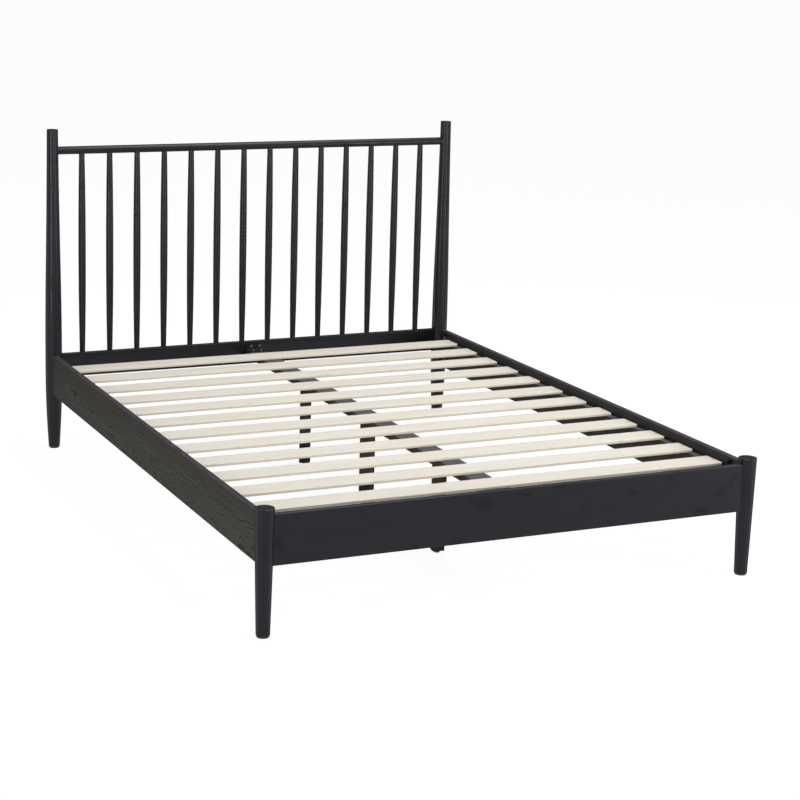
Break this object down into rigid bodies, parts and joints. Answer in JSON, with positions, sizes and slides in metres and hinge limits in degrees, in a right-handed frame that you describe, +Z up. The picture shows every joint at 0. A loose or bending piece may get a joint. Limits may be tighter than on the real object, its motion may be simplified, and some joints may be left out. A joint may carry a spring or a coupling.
{
  "type": "spindle bed",
  "caption": "Low platform bed with turned corner posts, a spindle headboard, a plain footboard and a slatted base on a centre beam with levelling legs.",
  "frame": {"origin": "on the floor under the middle of the bed's bounding box", "axes": "+X across the bed to the right seen from the foot, +Y from the foot towards the headboard, +Z up"},
  "size_m": [1.623, 2.1664, 1.168],
  "materials": {
    "frame_wood": "black stained open-grain oak, satin lacquer",
    "support_wood": "black-brown stained wood, matt",
    "slat_wood": "bare pale softwood, planed",
    "bracket_steel": "black powder coat",
    "screw_steel": "black zinc",
    "zinc_steel": "zinc plated",
    "insert_steel": "zinc plated",
    "glide_plastic": "moulded nylon"
  },
  "bodies": {
    "frame": {"beam_bracket_foot": "bracket_steel", "beam_bracket_head": "bracket_steel", "beam_screws": "screw_steel", "centre_beam": "support_wood", "foot_post_left": "frame_wood", "foot_post_right": "frame_wood", "footboard_rail": "frame_wood", "hanger_bolts": "zinc_steel", "head_post_left": "frame_wood", "head_post_right": "frame_wood", "headboard_lower_rail": "frame_wood", "headboard_top_rail": "frame_wood", "ledger_left": "frame_wood", "ledger_right": "frame_wood", "post_glides": "glide_plastic", "post_inserts": "insert_steel", "rail_bolts": "zinc_steel", "rail_screws": "screw_steel", "rail_washers": "zinc_steel", "side_rail_left": "frame_wood", "side_rail_right": "frame_wood", "slat_01": "slat_wood", "slat_02": "slat_wood", "slat_03": "slat_wood", "slat_04": "slat_wood", "slat_05": "slat_wood", "slat_06": "slat_wood", "slat_07": "slat_wood", "slat_08": "slat_wood", "slat_09": "slat_wood", "slat_10": "slat_wood", "slat_11": "slat_wood", "slat_12": "slat_wood", "spindle_01": "frame_wood", "spindle_02": "frame_wood", "spindle_03": "frame_wood", "spindle_04": "frame_wood", "spindle_05": "frame_wood", "spindle_06": "frame_wood", "spindle_07": "frame_wood", "spindle_08": "frame_wood", "spindle_09": "frame_wood", "spindle_10": "frame_wood", "spindle_11": "frame_wood", "spindle_12": "frame_wood", "spindle_13": "frame_wood", "spindle_14": "frame_wood"},
    "leg_head": {"centre_leg_head": "support_wood", "leg_insert_head": "insert_steel"},
    "glide_head": {"leg_glide_head": "glide_plastic"},
    "leg_middle": {"centre_leg_middle": "support_wood", "leg_insert_middle": "insert_steel"},
    "glide_middle": {"leg_glide_middle": "glide_plastic"},
    "leg_foot": {"centre_leg_foot": "support_wood", "leg_insert_foot": "insert_steel"},
    "glide_foot": {"leg_glide_foot": "glide_plastic"}
  },
  "joints": [
    {"name": "leg_head_turn", "type": "hinge", "parent": "frame", "child": "leg_head", "pos_m": [0, 0.53875, 0.2892], "axis": [0, 0, 1], "range_deg": [-180, 180]},
    {"name": "glide_head_height", "type": "slide", "parent": "leg_head", "child": "glide_head", "axis": [0, 0, -1], "range_m": [-0.0028, 0.012]},
    {"name": "leg_middle_turn", "type": "hinge", "parent": "frame", "child": "leg_middle", "pos_m": [0, -0.00225, 0.2892], "axis": [0, 0, 1], "range_deg": [-180, 180]},
    {"name": "glide_middle_height", "type": "slide", "parent": "leg_middle", "child": "glide_middle", "axis": [0, 0, -1], "range_m": [-0.0028, 0.012]},
    {"name": "leg_foot_turn", "type": "hinge", "parent": "frame", "child": "leg_foot", "pos_m": [0, -0.54325, 0.2892], "axis": [0, 0, 1], "range_deg": [-180, 180]},
    {"name": "glide_foot_height", "type": "slide", "parent": "leg_foot", "child": "glide_foot", "axis": [0, 0, -1], "range_m": [-0.0028, 0.012]}
  ]
}
